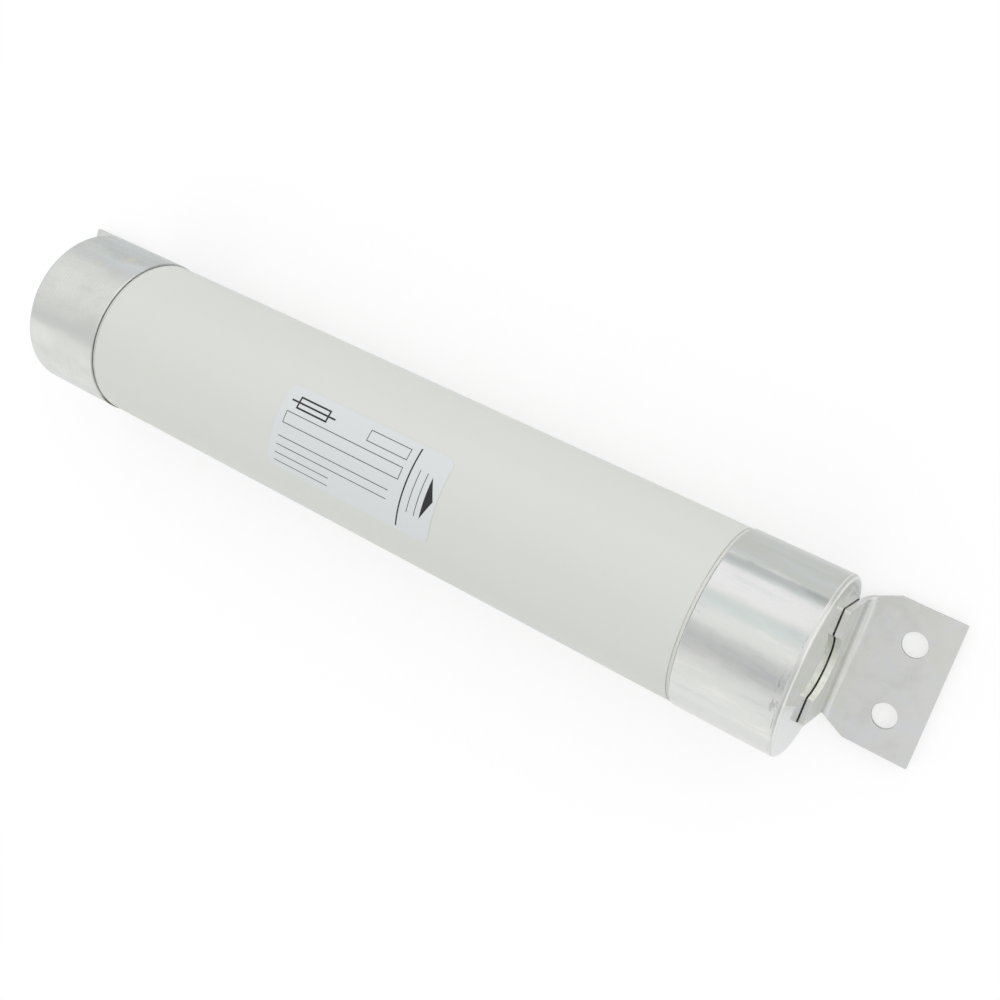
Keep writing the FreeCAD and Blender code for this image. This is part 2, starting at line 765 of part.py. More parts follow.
for item in doc.Objects:
    if "Invalid" in item.State or "Error" in item.State:
        raise ValueError(f"{item.Label} failed: {item.State}")
for piece in finished_pieces():
    if piece.Shape.isNull() or not piece.Shape.isValid() or not piece.Shape.Solids:
        raise ValueError(f"{piece.Label} has no valid solid")

os.makedirs("parts", exist_ok=True)
for piece in finished_pieces():
    piece.Shape.exportStep(f"parts/{piece.Label}.step")
    print(f"{piece.Label}: {len(piece.Shape.Solids)} solid, {piece.Shape.Volume / 1000:.2f} cm3")
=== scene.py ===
import functools
import math

import bmesh
import bpy
from mathutils import Matrix, Vector


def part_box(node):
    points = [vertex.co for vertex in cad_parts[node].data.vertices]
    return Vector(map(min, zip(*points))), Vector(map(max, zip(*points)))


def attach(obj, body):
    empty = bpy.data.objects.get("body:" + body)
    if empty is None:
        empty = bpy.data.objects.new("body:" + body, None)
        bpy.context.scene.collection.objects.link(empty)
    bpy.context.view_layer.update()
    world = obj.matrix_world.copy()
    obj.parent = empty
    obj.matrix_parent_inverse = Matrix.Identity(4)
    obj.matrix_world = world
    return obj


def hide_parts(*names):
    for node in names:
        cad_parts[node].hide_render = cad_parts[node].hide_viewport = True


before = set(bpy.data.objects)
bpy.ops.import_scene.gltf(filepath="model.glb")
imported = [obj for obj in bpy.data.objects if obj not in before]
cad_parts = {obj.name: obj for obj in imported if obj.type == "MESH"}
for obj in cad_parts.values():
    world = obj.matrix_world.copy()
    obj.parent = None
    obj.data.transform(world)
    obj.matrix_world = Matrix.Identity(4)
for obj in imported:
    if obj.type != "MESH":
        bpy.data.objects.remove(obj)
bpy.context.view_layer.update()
scene = bpy.context.scene
MM = 0.001
MICRON = 0.000001
X, Y, Z = 0, 1, 2
LOW, HIGH = 0, 1


def corners(node):
    """A node's lowest and highest corners at rest, in millimetres to a hundredth."""
    return [[round(place / MM, 2) for place in corner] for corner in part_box(node)]


barrel = corners("ceramic_barrel")
caps = corners("outer_caps")
seal = corners("striker_seal")
tag = corners("tag_right")
label = corners("label")

# Sizes of the barrel and the caps in millimetres, x from the middle and radius
BARREL_R = barrel[HIGH][Z]
BARREL_END_X = barrel[HIGH][X]
SHOULDER_X = 155.7
BEVEL_X = 157.2
BEVEL_R = 37.6
SPIGOT_R = 36.2
BORE_R = 31.0
CAP_R = caps[HIGH][Z]
CAP_WALL = 1.2
CAP_MOUTH_X = 157.5
END_X = caps[HIGH][X]
RIM = 2.2
SEAL_R = seal[HIGH][Z]
RUNNING_GAP = 0.05

# Sizes of the tags
SHEET = 2.5
FOOT_BACK_X = tag[LOW][X]
FOOT_TOP_Z = tag[HIGH][Z]
FOOT_HALF = 25.0
FOOT_BASE_HALF = 25.5
FOOT_CORNER = 1.5
NOTCH_R = 13.3
NOTCH_CORNER = 1.0
BEND_IN = 3.0
BLADE_TOP_Z = tag[LOW][Z] + SHEET
BLADE_TIP_X = tag[HIGH][X]
BLADE_HALF = tag[HIGH][Y]
SHOULDER = 10.7
SHOULDER_START = 1.2
BOLT_X = 226.9
BOLT_Y = 15.875
BOLT_R = 5.35
BEND_X = FOOT_BACK_X + SHEET + BEND_IN
BEND_Z = BLADE_TOP_Z + BEND_IN
BEND_START = FOOT_TOP_Z - BEND_Z
BEND_LENGTH = (BEND_IN + SHEET / 2) * math.pi / 2

# Sizes of the label. Its middle is at an angle round the barrel, in degrees from +Y.
LABEL_X = (label[LOW][X] + label[HIGH][X]) / 2
LABEL_HALF_X = (label[HIGH][X] - label[LOW][X]) / 2
LABEL_THICK = 0.15
LABEL_R = label[HIGH][Z] - LABEL_THICK
LABEL_ANGLE = 87.6
LABEL_ARC = 0.3
LABEL_HALF_ARC = 19.6
LABEL_CORNER = 4.0
PRINT_THICK = 0.02


# Camera, from the perspective fit of the photograph

def make_camera():
    """Focal length and centre are in pixels of the 1000 pixel frame, the place is in millimetres."""
    side = 1000
    focal, centre_x, centre_y = 1337.75, 508.28, 437.26
    place = Vector((283.02, 147.64, 507.30))
    right = Vector((0.8244, 0.3262, -0.4625)).normalized()
    look = Vector((-0.4162, -0.2044, -0.8860)).normalized()
    down = look.cross(right)
    right = down.cross(look)
    data = bpy.data.cameras.new("camera")
    data.sensor_width = 36
    data.lens = focal * data.sensor_width / side
    data.shift_x = (side / 2 - centre_x) / side
    data.shift_y = (centre_y - side / 2) / side
    data.clip_start = 0.01
    data.clip_end = 50
    camera = bpy.data.objects.new("camera", data)
    bpy.context.collection.objects.link(camera)
    turn = Matrix((right, -down, -look)).transposed()
    camera.matrix_world = Matrix.Translation(place * MM) @ turn.to_4x4()
    scene.camera = camera


make_camera()


# Mesh helpers

def add_piece(name, mesh, material, body, stands_for=()):
    """An object that rides on a body, takes its finish from a slot and may stand for CAD nodes."""
    piece = bpy.data.objects.new(name, mesh)
    bpy.context.collection.objects.link(piece)
    mesh.materials.append(material)
    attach(piece, body)
    if stands_for:
        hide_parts(*stands_for)
    return piece


def weigh_normals(piece):
    """Keeps flat faces flat where they meet a small rounded edge."""
    modifier = piece.modifiers.new("normals", "WEIGHTED_NORMAL")
    modifier.keep_sharp = True
    modifier.weight = 90


def finished_mesh(name, bm, sharp_from=35):
    """A mesh that is shaded smooth, apart from edges that turn by more than some degrees."""
    bmesh.ops.recalc_face_normals(bm, faces=bm.faces[:])
    mesh = bpy.data.meshes.new(name)
    bm.to_mesh(mesh)
    bm.free()
    mesh.shade_smooth()
    mesh.set_sharp_from_angle(angle=math.radians(sharp_from))
    return mesh


def slice_across(bm, place, normal):
    bmesh.ops.bisect_plane(bm, geom=bm.verts[:] + bm.edges[:] + bm.faces[:], dist=1e-5,
                           plane_co=place, plane_no=normal)


def arc_points(centre, radius, start, end, steps):
    """Points of an arc in the plane of axis and radius, angles in degrees."""
    points = []
    for step in range(steps + 1):
        angle = math.radians(start + (end - start) * step / steps)
        points.append((centre[0] + radius * math.cos(angle), centre[1] + radius * math.sin(angle)))
    return points


def lathe(name, profile):
    """Closed solid of revolution about X from an outline of x and radius in millimetres."""
    segments = 216
    bm = bmesh.new()
    rings = []
    for x, radius in profile:
        if radius < 1e-6:
            rings.append([bm.verts.new((x * MM, 0, 0))])
            continue
        ring = []
        for step in range(segments):
            angle = 2 * math.pi * step / segments
            ring.append(bm.verts.new((x * MM, radius * MM * math.cos(angle), radius * MM * math.sin(angle))))
        rings.append(ring)
    for first, second in zip(rings, rings[1:] + rings[:1]):
        if len(first) == 1 and len(second) == 1:
            continue
        for step in range(segments):
            following = (step + 1) % segments
            if len(first) == 1:
                bm.faces.new((first[0], second[step], second[following]))
            elif len(second) == 1:
                bm.faces.new((first[step], second[0], first[following]))
            else:
                bm.faces.new((first[step], second[step], second[following], first[following]))
    return finished_mesh(name, bm)


def turned_left(mesh):
    mesh.transform(Matrix.Rotation(math.pi, 4, "Z"))
    return mesh


# Shader helpers

# Sockets of the colour mix node, by number because they share their names with others
MIX_UNDER = 6
MIX_OVER = 7
MIX_RESULT = 2


def add_node(tree, kind, inputs=(), **settings):
    """A node of a tree. Each input is a number, a colour or another node's output."""
    node = tree.nodes.new(kind)
    for key, content in settings.items():
        setattr(node, key, content)
    for socket, content in dict(inputs).items():
        if isinstance(content, bpy.types.NodeSocket):
            tree.links.new(content, node.inputs[socket])
        else:
            node.inputs[socket].default_value = content
    return node


def empty_tree(owner):
    """The node tree of a material or world, with nothing in it."""
    owner.use_nodes = True
    owner.node_tree.nodes.clear()
    return owner.node_tree


class Shader:
    """A material with a Principled shader, and short ways to add procedural detail to it."""

    def __init__(self, name, colour, roughness, metallic=0.0):
        self.material = bpy.data.materials.new(name)
        self.material.use_nodes = True
        self.tree = self.material.node_tree
        self.inputs = self.tree.nodes["Principled BSDF"].inputs
        self.inputs["Base Color"].default_value = (*colour, 1)
        self.inputs["Roughness"].default_value = roughness
        self.inputs["Metallic"].default_value = metallic
        self.place = self.node("ShaderNodeTexCoord").outputs["Object"]

    def node(self, kind, inputs=(), **settings):
        return add_node(self.tree, kind, inputs, **settings)

    def noise(self, scale, detail=4, roughness=0.55, vector=None):
        place = self.place if vector is None else vector
        sockets = {"Vector": place, "Scale": scale, "Detail": detail, "Roughness": roughness}
        return self.node("ShaderNodeTexNoise", sockets).outputs["Fac"]

    def streaks(self, scales, detail, roughness, turn=(0, 0, 0)):
        """Noise drawn out by a scale of its own along each axis."""
        sockets = {"Vector": self.place, "Scale": scales, "Rotation": turn}
        stretched = self.node("ShaderNodeMapping", sockets).outputs["Vector"]
        return self.noise(1, detail, roughness, stretched)

    def cells(self, scale):
        sockets = {"Vector": self.place, "Scale": scale}
        return self.node("ShaderNodeTexVoronoi", sockets).outputs["Distance"]

    def calc(self, operation, first, second=0.0):
        """The math node on two factors or numbers."""
        return self.node("ShaderNodeMath", {0: first, 1: second}, operation=operation).outputs["Value"]

    def sum(self, first, second):
        return self.calc("ADD", first, second)

    def mean(self, first, second):
        return self.product(self.sum(first, second), 0.5)

    def product(self, *factors):
        return functools.reduce(functools.partial(self.calc, "MULTIPLY"), factors)

    def fit(self, fac, low, high, to_low=0.0, to_high=1.0):
        """Stretches a factor from one range to another."""
        sockets = {"Value": fac, "From Min": low, "From Max": high, "To Min": to_low, "To Max": to_high}
        return self.node("ShaderNodeMapRange", sockets, interpolation_type="SMOOTHSTEP").outputs["Result"]

    def along(self, axis, size=False):
        """Place along an axis in metres, or its distance from the middle."""
        place = self.node("ShaderNodeSeparateXYZ", {"Vector": self.place}).outputs[axis]
        return self.calc("ABSOLUTE", place) if size else place

    def ramp(self, place, start, full, low=0.0, high=1.0):
        """Runs from low to high between two places, which are in millimetres."""
        return self.fit(place, start * MM, full * MM, low, high)

    def stripe(self, place, middle, half, soft):
        """1 up to a half width from the middle, then falling to 0 over a soft width. All in millimetres."""
        offset = self.calc("ABSOLUTE", self.calc("SUBTRACT", place, middle * MM))
        return self.ramp(offset, half + soft, half)

    def tint(self, fac, colour):
        """Blends the base colour towards another by a factor. Later tints lie over earlier ones."""
        base = self.inputs["Base Color"]
        under = base.links[0].from_socket if base.is_linked else base.default_value
        sockets = {"Factor": fac, MIX_UNDER: under, MIX_OVER: (*colour, 1)}
        mix = self.node("ShaderNodeMix", sockets, data_type="RGBA")
        self.lead(mix.outputs[MIX_RESULT], "Base Color")

    def rough(self, fac, low, high):
        """Roughness that runs from low to high with the factor."""
        self.lead(self.fit(fac, 0.25, 0.75, low, high), "Roughness")

    def bump(self, fac, height):
        """Adds relief over what is there already. The height is in thousandths of a millimetre."""
        sockets = {"Distance": height * MICRON, "Height": fac}
        normal = self.inputs["Normal"]
        if normal.is_linked:
            sockets["Normal"] = normal.links[0].from_socket
        self.lead(self.node("ShaderNodeBump", sockets).outputs["Normal"], "Normal")

    def lead(self, output, name):
        """Leads an output to the Principled shader's input of that name."""
        self.tree.links.new(output, self.inputs[name])


def scaled(colour, factor):
    return tuple(channel * factor for channel in colour)


# Materials of the outside. Places in them are in millimetres.

def make_glaze():
    """Off-white glaze with faint mottling, orange peel and a few specks. Beside the caps the clay is bare,
    with painted shade in the groove beside the glaze's lip and painted light on the bevel towards the cap's
    mouth.
    """
    shader = Shader("glaze", (0.692, 0.712, 0.666), 0.36)
    shader.tint(shader.fit(shader.noise(9, 3), 0.35, 0.7, 0, 0.5), (0.675, 0.700, 0.658))
    shader.tint(shader.fit(shader.noise(45, 4), 0.5, 0.75, 0, 0.35), (0.702, 0.716, 0.657))
    shader.tint(shader.fit(shader.cells(260), 0.045, 0.02, 0, 0.35), (0.42, 0.42, 0.38))
    place = shader.along("X", size=True)
    shader.tint(shader.ramp(place, SHOULDER_X - 0.02, SHOULDER_X + 0.02), (0.720, 0.725, 0.688))
    # Painted shade in the groove beside the glaze's lip, broken up by noise.
    painted_dark_breakup = shader.fit(shader.noise(40, 4), 0.35, 0.65, 0.1, 0.9)
    corner = shader.stripe(place, SHOULDER_X + 0.2, 0.15, 0.15)
    shader.tint(shader.product(corner, painted_dark_breakup, 0.7), (0.46, 0.47, 0.40))
    # Painted light: the bare bevel turns paler towards the cap's mouth, against the shade there.
    shader.tint(shader.ramp(place, BEVEL_X - 0.7, BEVEL_X - 0.3), (0.84, 0.84, 0.80))
    shader.rough(shader.noise(30, 5), 0.30, 0.42)
    shader.bump(shader.noise(420, 2), 20)
    shader.bump(shader.noise(60, 2), 60)
    return shader.material


def add_drawn_lines(shader):
    """Fine lines round the cap, left by drawing and polishing."""
    lines = shader.streaks((2600, 14, 14), 6, 0.7)
    shader.bump(lines, 0.5)
    return lines


def add_painted_flank_shade(shader, colour, start, full):
    """Painted shade over the cap's far flank, wavy at its edge, with lighter and bluer streaks along the cap
    inside it. Start and full are places along Y.
    """
    wave = shader.fit(shader.noise(60, 3), 0.3, 0.7, -1.2 * MM, 1.2 * MM)
    flank = shader.ramp(shader.sum(shader.along("Y"), wave), start, full, 0, 0.9)
    shader.tint(flank, colour)
    red, green, blue = colour
    streaks = shader.fit(shader.streaks((16, 190, 190), 4, 0.6), 0.46, 0.66, 0, 0.75)
    shader.tint(shader.product(streaks, flank), (red * 1.13, green * 1.14, blue * 1.24))


def add_painted_rim_light_and_scuffs(shader, place, side):
    """Where the cap's skirt turns into its end: painted shade on the rim, painted highlight lines along both
    edges of its rounding, scuffs on the skirt and a thin painted dark reflection along the skirt's edge.
    """
    # Painted shade on the rim, strongest towards +Y, then a fainter painted shade all round.
    painted_rim_shade = shader.product(shader.stripe(place, END_X - 1.2, 0.4, 0.4), shader.stripe(side, 17, 9, 14), 0.9)
    shader.tint(painted_rim_shade, (0.500, 0.505, 0.485))
    shader.tint(shader.product(shader.stripe(place, END_X - 1.0, 0.10, 0.30), 0.4), (0.560, 0.560, 0.530))
    far_side = shader.ramp(side, 18, 27)
    # Painted highlight lines along both edges of the rim's rounding, broken up by noise: the inner one on the
    # far flank only.
    wear_and_highlight_breakup = shader.fit(shader.noise(50, 4), 0.3, 0.6, 0.2, 0.7)
    inner_line = shader.product(shader.stripe(place, END_X - 1.9, 0.08, 0.22), far_side)
    outer_line = shader.product(shader.stripe(place, END_X - 0.46, 0.12, 0.28),
                                shader.calc("MAXIMUM", far_side, 0.55))
    for line in (inner_line, outer_line):
        shader.tint(shader.product(line, wear_and_highlight_breakup), (0.89, 0.89, 0.84))
    wear = shader.product(shader.stripe(place, END_X - 3.6, 0.9, 1.2), shader.stripe(side, -3, 6, 7))
    scuffs = shader.fit(shader.streaks((420, 170, 170), 5, 0.8), 0.50, 0.58, 0, 0.75)
    shader.tint(shader.product(scuffs, wear), (0.46, 0.46, 0.43))
    # A thin painted dark reflection where the skirt meets the rim, except on the far flank, broken up by
    # noise.
    painted_dark_breakup = shader.fit(shader.noise(75, 4, 0.7), 0.50, 0.60, 0, 0.8)
    near_edge = shader.calc("SUBTRACT", shader.stripe(place, END_X - RIM, 0.06, 0.22), far_side)
    shader.tint(shader.product(shader.calc("MAXIMUM", near_edge, 0), painted_dark_breakup), (0.46, 0.45, 0.40))


def make_cap_plate():
    """Polished tin plate: sharp reflections, drawn lines, faint smudges and scratches, with painted shade
    over the far flank and the rim, painted highlight lines on the rim and a painted bluish reflection on the
    end face.
    """
    shader = Shader("cap_plate", (0.732, 0.742, 0.716), 0.1, 1.0)
    lines = add_drawn_lines(shader)
    smudges = shader.noise(38, 6, 0.6)
    shader.tint(shader.fit(smudges, 0.48, 0.72, 0, 0.4), (0.664, 0.677, 0.650))
    handling = shader.streaks((34, 150, 150), 5, 0.65)
    shader.tint(shader.fit(handling, 0.53, 0.66, 0, 0.7), (0.800, 0.800, 0.770))
    shader.tint(shader.fit(handling, 0.47, 0.34, 0, 0.7), (0.660, 0.675, 0.660))
    # Painted shade over the cap's far flank.
    add_painted_flank_shade(shader, (0.528, 0.550, 0.514), 29.6, 32.6)
    marks = shader.fit(shader.noise(430, 5, 0.8), 0.64, 0.71, 0, 0.6)
    patches = shader.fit(shader.noise(34, 2), 0.50, 0.62)
    shader.tint(shader.product(marks, patches), (0.40, 0.40, 0.37))
    scratches = shader.streaks((160, 1900, 60), 3, 0.8, turn=(0.5, 0.2, 0.4))
    shader.tint(shader.fit(scratches, 0.66, 0.73, 0, 0.45), (0.50, 0.50, 0.47))
    place = shader.along("X", size=True)
    side = shader.along("Y")
    add_painted_rim_light_and_scuffs(shader, place, side)
    # Painted bluish reflection on the lower part of the end face.
    painted_end_reflection = shader.product(shader.ramp(side, -8, -20), shader.ramp(place, END_X - 0.3, END_X), 0.7)
    shader.tint(painted_end_reflection, (0.700, 0.718, 0.745))
    skirt = shader.fit(shader.mean(smudges, lines), 0.25, 0.75, 0.07, 0.17)
    end = shader.ramp(place, END_X - 0.8, END_X - 0.1, 1, 0.35)
    rim = shader.stripe(place, END_X - RIM / 2, RIM / 2 - 0.3, 0.3)
    shader.lead(shader.sum(shader.product(skirt, end), shader.product(rim, 0.10)), "Roughness")
    shader.bump(shader.noise(26, 2), 80)
    shader.bump(shader.noise(90, 2), 9)
    return shader.material


def make_satin_plate():
    """Tin plate that handling has dulled: greenish grey with cloudy smudges and yellow stains."""
    shader = Shader("satin_plate", (0.725, 0.735, 0.705), 0.35, 1.0)
    lines = add_drawn_lines(shader)
    clouds = shader.noise(34, 8, 0.68)
    shader.tint(shader.fit(clouds, 0.40, 0.66, 0, 0.7), (0.630, 0.648, 0.615))
    # Painted shade over the cap's far flank, in two steps, darkest towards the top.
    add_painted_flank_shade(shader, (0.585, 0.610, 0.590), 26.0, 33.0)
    add_painted_flank_shade(shader, (0.495, 0.520, 0.505), 32.5, 36.5)
    shader.tint(shader.fit(shader.streaks((40, 90, 240), 6, 0.7), 0.50, 0.70, 0, 0.5), (0.600, 0.620, 0.600))
    shader.tint(shader.fit(shader.noise(75, 6, 0.7), 0.58, 0.72, 0, 0.6), (0.64, 0.62, 0.52))
    place = shader.along("X", size=True)
    # A darker band round the rim.
    rim_dark_band = shader.product(shader.stripe(place, END_X - 0.85, 0.45, 0.5), 0.55)
    shader.tint(rim_dark_band, (0.420, 0.430, 0.405))
    # Painted reflection bands along the skirt: a darker band between about Y -7 and 4 mm, and a lighter band
    # between Y -15 and -8.5 mm.
    wave = shader.fit(shader.noise(45, 3), 0.3, 0.7, -0.8 * MM, 0.8 * MM)
    side = shader.sum(shader.along("Y"), wave)
    skirt = shader.ramp(place, END_X - 0.5, END_X - 2)
    painted_shade_band = shader.product(shader.ramp(side, 4, -4), shader.ramp(side, -7.2, -5.2), 0.8, skirt)
    shader.tint(painted_shade_band, (0.655, 0.668, 0.655))
    painted_light_band = shader.product(shader.ramp(side, -6.6, -8.5), shader.ramp(side, -19, -15), 0.4, skirt)
    shader.tint(painted_light_band, (0.755, 0.765, 0.745))
    # Painted shade: dark brown at the bottom of the cap's mouth edge, where the gap meets the barrel.
    mouth = shader.ramp(place, CAP_MOUTH_X + 0.35, CAP_MOUTH_X + 0.15)
    shader.tint(shader.product(mouth, shader.ramp(side, -29, -33.5), 0.9), (0.13, 0.095, 0.07))
    shader.rough(shader.mean(clouds, lines), 0.20, 0.42)
    shader.bump(shader.noise(24, 2), 100)
    shader.bump(clouds, 20)
    return shader.material


def make_tag_plate():
    """Plated sheet: satin, clouded blue and yellow, with faint grain along the tag and small stains."""
    shader = Shader("tag_plate", (0.760, 0.762, 0.740), 0.30, 1.0)
    grain = shader.streaks((40, 700, 40), 3, 0.6)
    clouds = shader.noise(70, 6, 0.6)
    shader.tint(shader.fit(clouds, 0.44, 0.64, 0, 0.8), (0.690, 0.698, 0.668))
    shader.tint(shader.fit(shader.noise(32, 4, 0.6), 0.5, 0.66, 0, 0.6), (0.735, 0.733, 0.668))
    blue = shader.streaks((110, 150, 110), 4, 0.6)
    shader.tint(shader.fit(blue, 0.50, 0.62, 0, 0.7), (0.735, 0.757, 0.770))
    # Painted highlight and shade streaks along the bend, over the foot and the bend, stronger lower down.
    on_foot = shader.product(shader.ramp(shader.along("X", size=True), BEND_X + 1.5, BEND_X - 0.5),
                             shader.ramp(shader.along("Y", size=True), FOOT_HALF - 0.2, FOOT_HALF - 1.2))
    near_bend = shader.product(on_foot, shader.ramp(shader.along("Z"), -10, -24, 0.35, 1))
    painted_bend_streaks = shader.streaks((420, 9, 420), 4, 0.65)
    bright = shader.fit(painted_bend_streaks, 0.52, 0.62, 0, 0.8)
    dark = shader.fit(painted_bend_streaks, 0.46, 0.38, 0, 0.7)
    shader.tint(shader.product(bright, near_bend), (0.890, 0.900, 0.905))
    shader.tint(shader.product(dark, near_bend), (0.620, 0.635, 0.605))
    spots = shader.fit(shader.noise(210, 5, 0.75), 0.62, 0.70, 0, 0.5)
    shader.tint(shader.product(spots, shader.fit(clouds, 0.48, 0.58)), (0.54, 0.52, 0.43))
    shader.rough(shader.mean(clouds, grain), 0.26, 0.42)
    shader.bump(grain, 0.6)
    shader.bump(shader.noise(40, 3), 50)
    return shader.material


def cut_edge(name, colour, roughness, metallic):
    """Sheared edge of the sheet: matt, with lines across the thickness."""
    shader = Shader(name, colour, roughness, metallic)
    lines = shader.streaks((500, 500, 60), 3, 0.6)
    shader.tint(shader.fit(lines, 0.4, 0.7, 0, 0.4), scaled(colour, 0.8))
    shader.rough(lines, roughness * 0.85, roughness * 1.2)
    shader.bump(lines, 2)
    return shader


def make_cut_edge():
    # The blade's cut walls: a sheared finish, darker than the plate as painted shade along the blade's edges.
    return cut_edge("cut_edge", (0.62, 0.62, 0.59), 0.45, 1.0).material


def make_notch_edge():
    """The notch's wall: pale and matt, paler than the sheet as painted light against the shade in the notch,
    at its end towards -Y, and greyer towards +Y as painted shade.
    """
    shader = cut_edge("notch_edge", (0.93, 0.94, 0.87), 0.60, 0.35)
    # Painted shade: greyer towards +Y.
    shader.tint(shader.ramp(shader.along("Y"), -6, 9, 0, 0.9), (0.66, 0.68, 0.62))
    return shader.material


def make_label_paper():
    shader = Shader("label_paper", (0.692, 0.723, 0.722), 0.42)
    fibre = shader.noise(900, 4, 0.7)
    shader.tint(shader.fit(shader.noise(22, 3), 0.4, 0.7, 0, 0.5), (0.676, 0.707, 0.709))
    shader.rough(fibre, 0.36, 0.50)
    shader.bump(fibre, 8)
    shader.bump(shader.noise(70, 2), 30)
    return shader.material


def make_print(name, colour, thin):
    """Printed ink, a little uneven so that the paper shows through where it is thin."""
    shader = Shader(name, colour, 0.5)
    wear_and_highlight_breakup = shader.noise(1400, 3, 0.7)
    shader.tint(shader.fit(wear_and_highlight_breakup, 0.5, 0.8, 0, 0.6), thin)
    shader.rough(wear_and_highlight_breakup, 0.42, 0.6)
    shader.bump(wear_and_highlight_breakup, 4)
    return shader.material


# Materials of what is held inside

def make_metal(name, colour, dark, roughness, grain=(400, 400, 400)):
    """Worked metal with grain, tarnish and faint dents."""
    shader = Shader(name, colour, roughness, 1.0)
    tarnish = shader.noise(110, 6, 0.6)
    shader.tint(shader.fit(tarnish, 0.45, 0.72, 0, 0.7), dark)
    lines = shader.streaks(grain, 4, 0.7)
    shader.rough(shader.mean(tarnish, lines), roughness * 0.75, roughness * 1.3)
    shader.bump(lines, 4)
    shader.bump(shader.noise(160, 2), 20)
    return shader.material


def make_grainy(name, colour, dark, roughness, size, height):
    """Matt material made of grains: fired clay, sand or rubber. Size in millimetres, height as for bump."""
    scale = 1 / (size * MM)
    shader = Shader(name, colour, roughness)
    grains = shader.cells(scale)
    shader.tint(shader.fit(grains, 0.2, 0.7, 0, 0.8), dark)
    shader.tint(shader.fit(shader.noise(60, 4), 0.45, 0.7, 0, 0.4), scaled(colour, 1.12))
    shader.rough(shader.noise(scale, 3), roughness * 0.85, min(1, roughness * 1.15))
    shader.bump(grains, height)
    return shader.material


GLAZE = make_glaze()
CAP_PLATE = make_cap_plate()
SATIN_PLATE = make_satin_plate()
TAG_PLATE = make_tag_plate()
CUT_EDGE = make_cut_edge()
NOTCH_EDGE = make_notch_edge()
PAPER = make_label_paper()
BLACK_INK = make_print("black_ink", (0.012, 0.012, 0.013), (0.06, 0.06, 0.065))
GREY_INK = make_print("grey_ink", (0.06, 0.062, 0.066), (0.20, 0.21, 0.22))
ROUND_GRAIN = (2000, 30, 30)
LONG_GRAIN = (60, 900, 900)
COPPER = make_metal("copper", (0.83, 0.47, 0.33), (0.55, 0.28, 0.19), 0.3, ROUND_GRAIN)
BRASS = make_metal("turned_brass", (0.78, 0.60, 0.30), (0.55, 0.40, 0.18), 0.28, ROUND_GRAIN)
SILVER = make_metal("silver_ribbon", (0.91, 0.90, 0.87), (0.72, 0.70, 0.64), 0.22, LONG_GRAIN)
TIN = make_metal("cast_tin", (0.66, 0.67, 0.68), (0.50, 0.51, 0.52), 0.42)
STEEL = make_metal("turned_steel", (0.60, 0.61, 0.62), (0.44, 0.45, 0.46), 0.27, ROUND_GRAIN)
SPRING_STEEL = make_metal("spring_steel", (0.34, 0.35, 0.37), (0.22, 0.22, 0.24), 0.35)
WIRE = make_metal("resistance_wire", (0.46, 0.44, 0.41), (0.33, 0.31, 0.28), 0.38, LONG_GRAIN)
# A real braze joint, made near black as painted shade for the dark gap line along the tag's foot.
BRAZE = make_metal("braze", (0.22, 0.21, 0.18), (0.08, 0.075, 0.06), 0.5)
PORCELAIN = make_grainy("fired_core", (0.78, 0.72, 0.62), (0.66, 0.60, 0.50), 0.75, 1.2, 30)
SAND = make_grainy("quartz_grains", (0.72, 0.63, 0.48), (0.42, 0.35, 0.25), 0.85, 0.7, 300)
RUBBER = make_grainy("gasket_rubber", (0.030, 0.029, 0.028), (0.018, 0.018, 0.018), 0.7, 0.9, 20)

NODE_MATERIALS = {
    "inner_caps": COPPER,
    "gaskets": RUBBER,
    "tag_brazes": BRAZE,
    "element_former": PORCELAIN,
    "fuse_element_a": SILVER,
    "fuse_element_b": SILVER,
    "tin_bead_a": TIN,
    "tin_bead_b": TIN,
    "collectors": BRASS,
    "quartz_sand": SAND,
    "filling_plug": BRASS,
    "striker_housing": BRASS,
    "striker_bush": BRASS,
    "striker_pin": STEEL,
    "striker_spring": SPRING_STEEL,
    "striker_seal": CAP_PLATE,
    "striker_wire": WIRE,
    "wire_anchor": BRASS,
}
for node_name, node_material in NODE_MATERIALS.items():
    node_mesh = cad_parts[node_name].data
    node_mesh.materials.clear()
    node_mesh.materials.append(node_material)


# Barrel

def make_barrel():
    """The glaze ends in a round lip with a groove beside it. A bare bevel runs on to the cap's mouth."""
    lip = 0.22
    edge = 0.25
    # Points of the groove, as distance beyond the shoulder and depth below the glaze
    groove = [(0.06, 0.38), (0.24, 0.34), (0.36, 0.15)]
    half = arc_points((SHOULDER_X - lip, BARREL_R - lip), lip, 90, 0, 4)
    half += [(SHOULDER_X + beyond, BARREL_R - depth) for beyond, depth in groove]
    half += arc_points((BEVEL_X - edge, BEVEL_R - edge), edge, 70, 0, 4)
    half += [(BEVEL_X, SPIGOT_R), (BARREL_END_X, SPIGOT_R), (BARREL_END_X, BORE_R)]
    outline = half + [(-x, radius) for x, radius in reversed(half)]
    piece = add_piece("barrel_tube", lathe("barrel_tube", outline), GLAZE, "fuse",
                      ("ceramic_barrel",))
    weigh_normals(piece)


# Outer caps

def cap_outline(hole_r):
    lip = 0.35
    inner_round = RIM - CAP_WALL
    inside = [(CAP_MOUTH_X, CAP_R - CAP_WALL)]
    inside += arc_points((END_X - RIM, CAP_R - RIM), inner_round, 90, 0, 5)
    inside.append((END_X - CAP_WALL, hole_r))
    outside = [(END_X, hole_r)]
    outside += arc_points((END_X - RIM, CAP_R - RIM), RIM, 0, 90, 12)
    outside += arc_points((CAP_MOUTH_X + lip, CAP_R - lip), lip, 90, 180, 4)
    return inside + outside


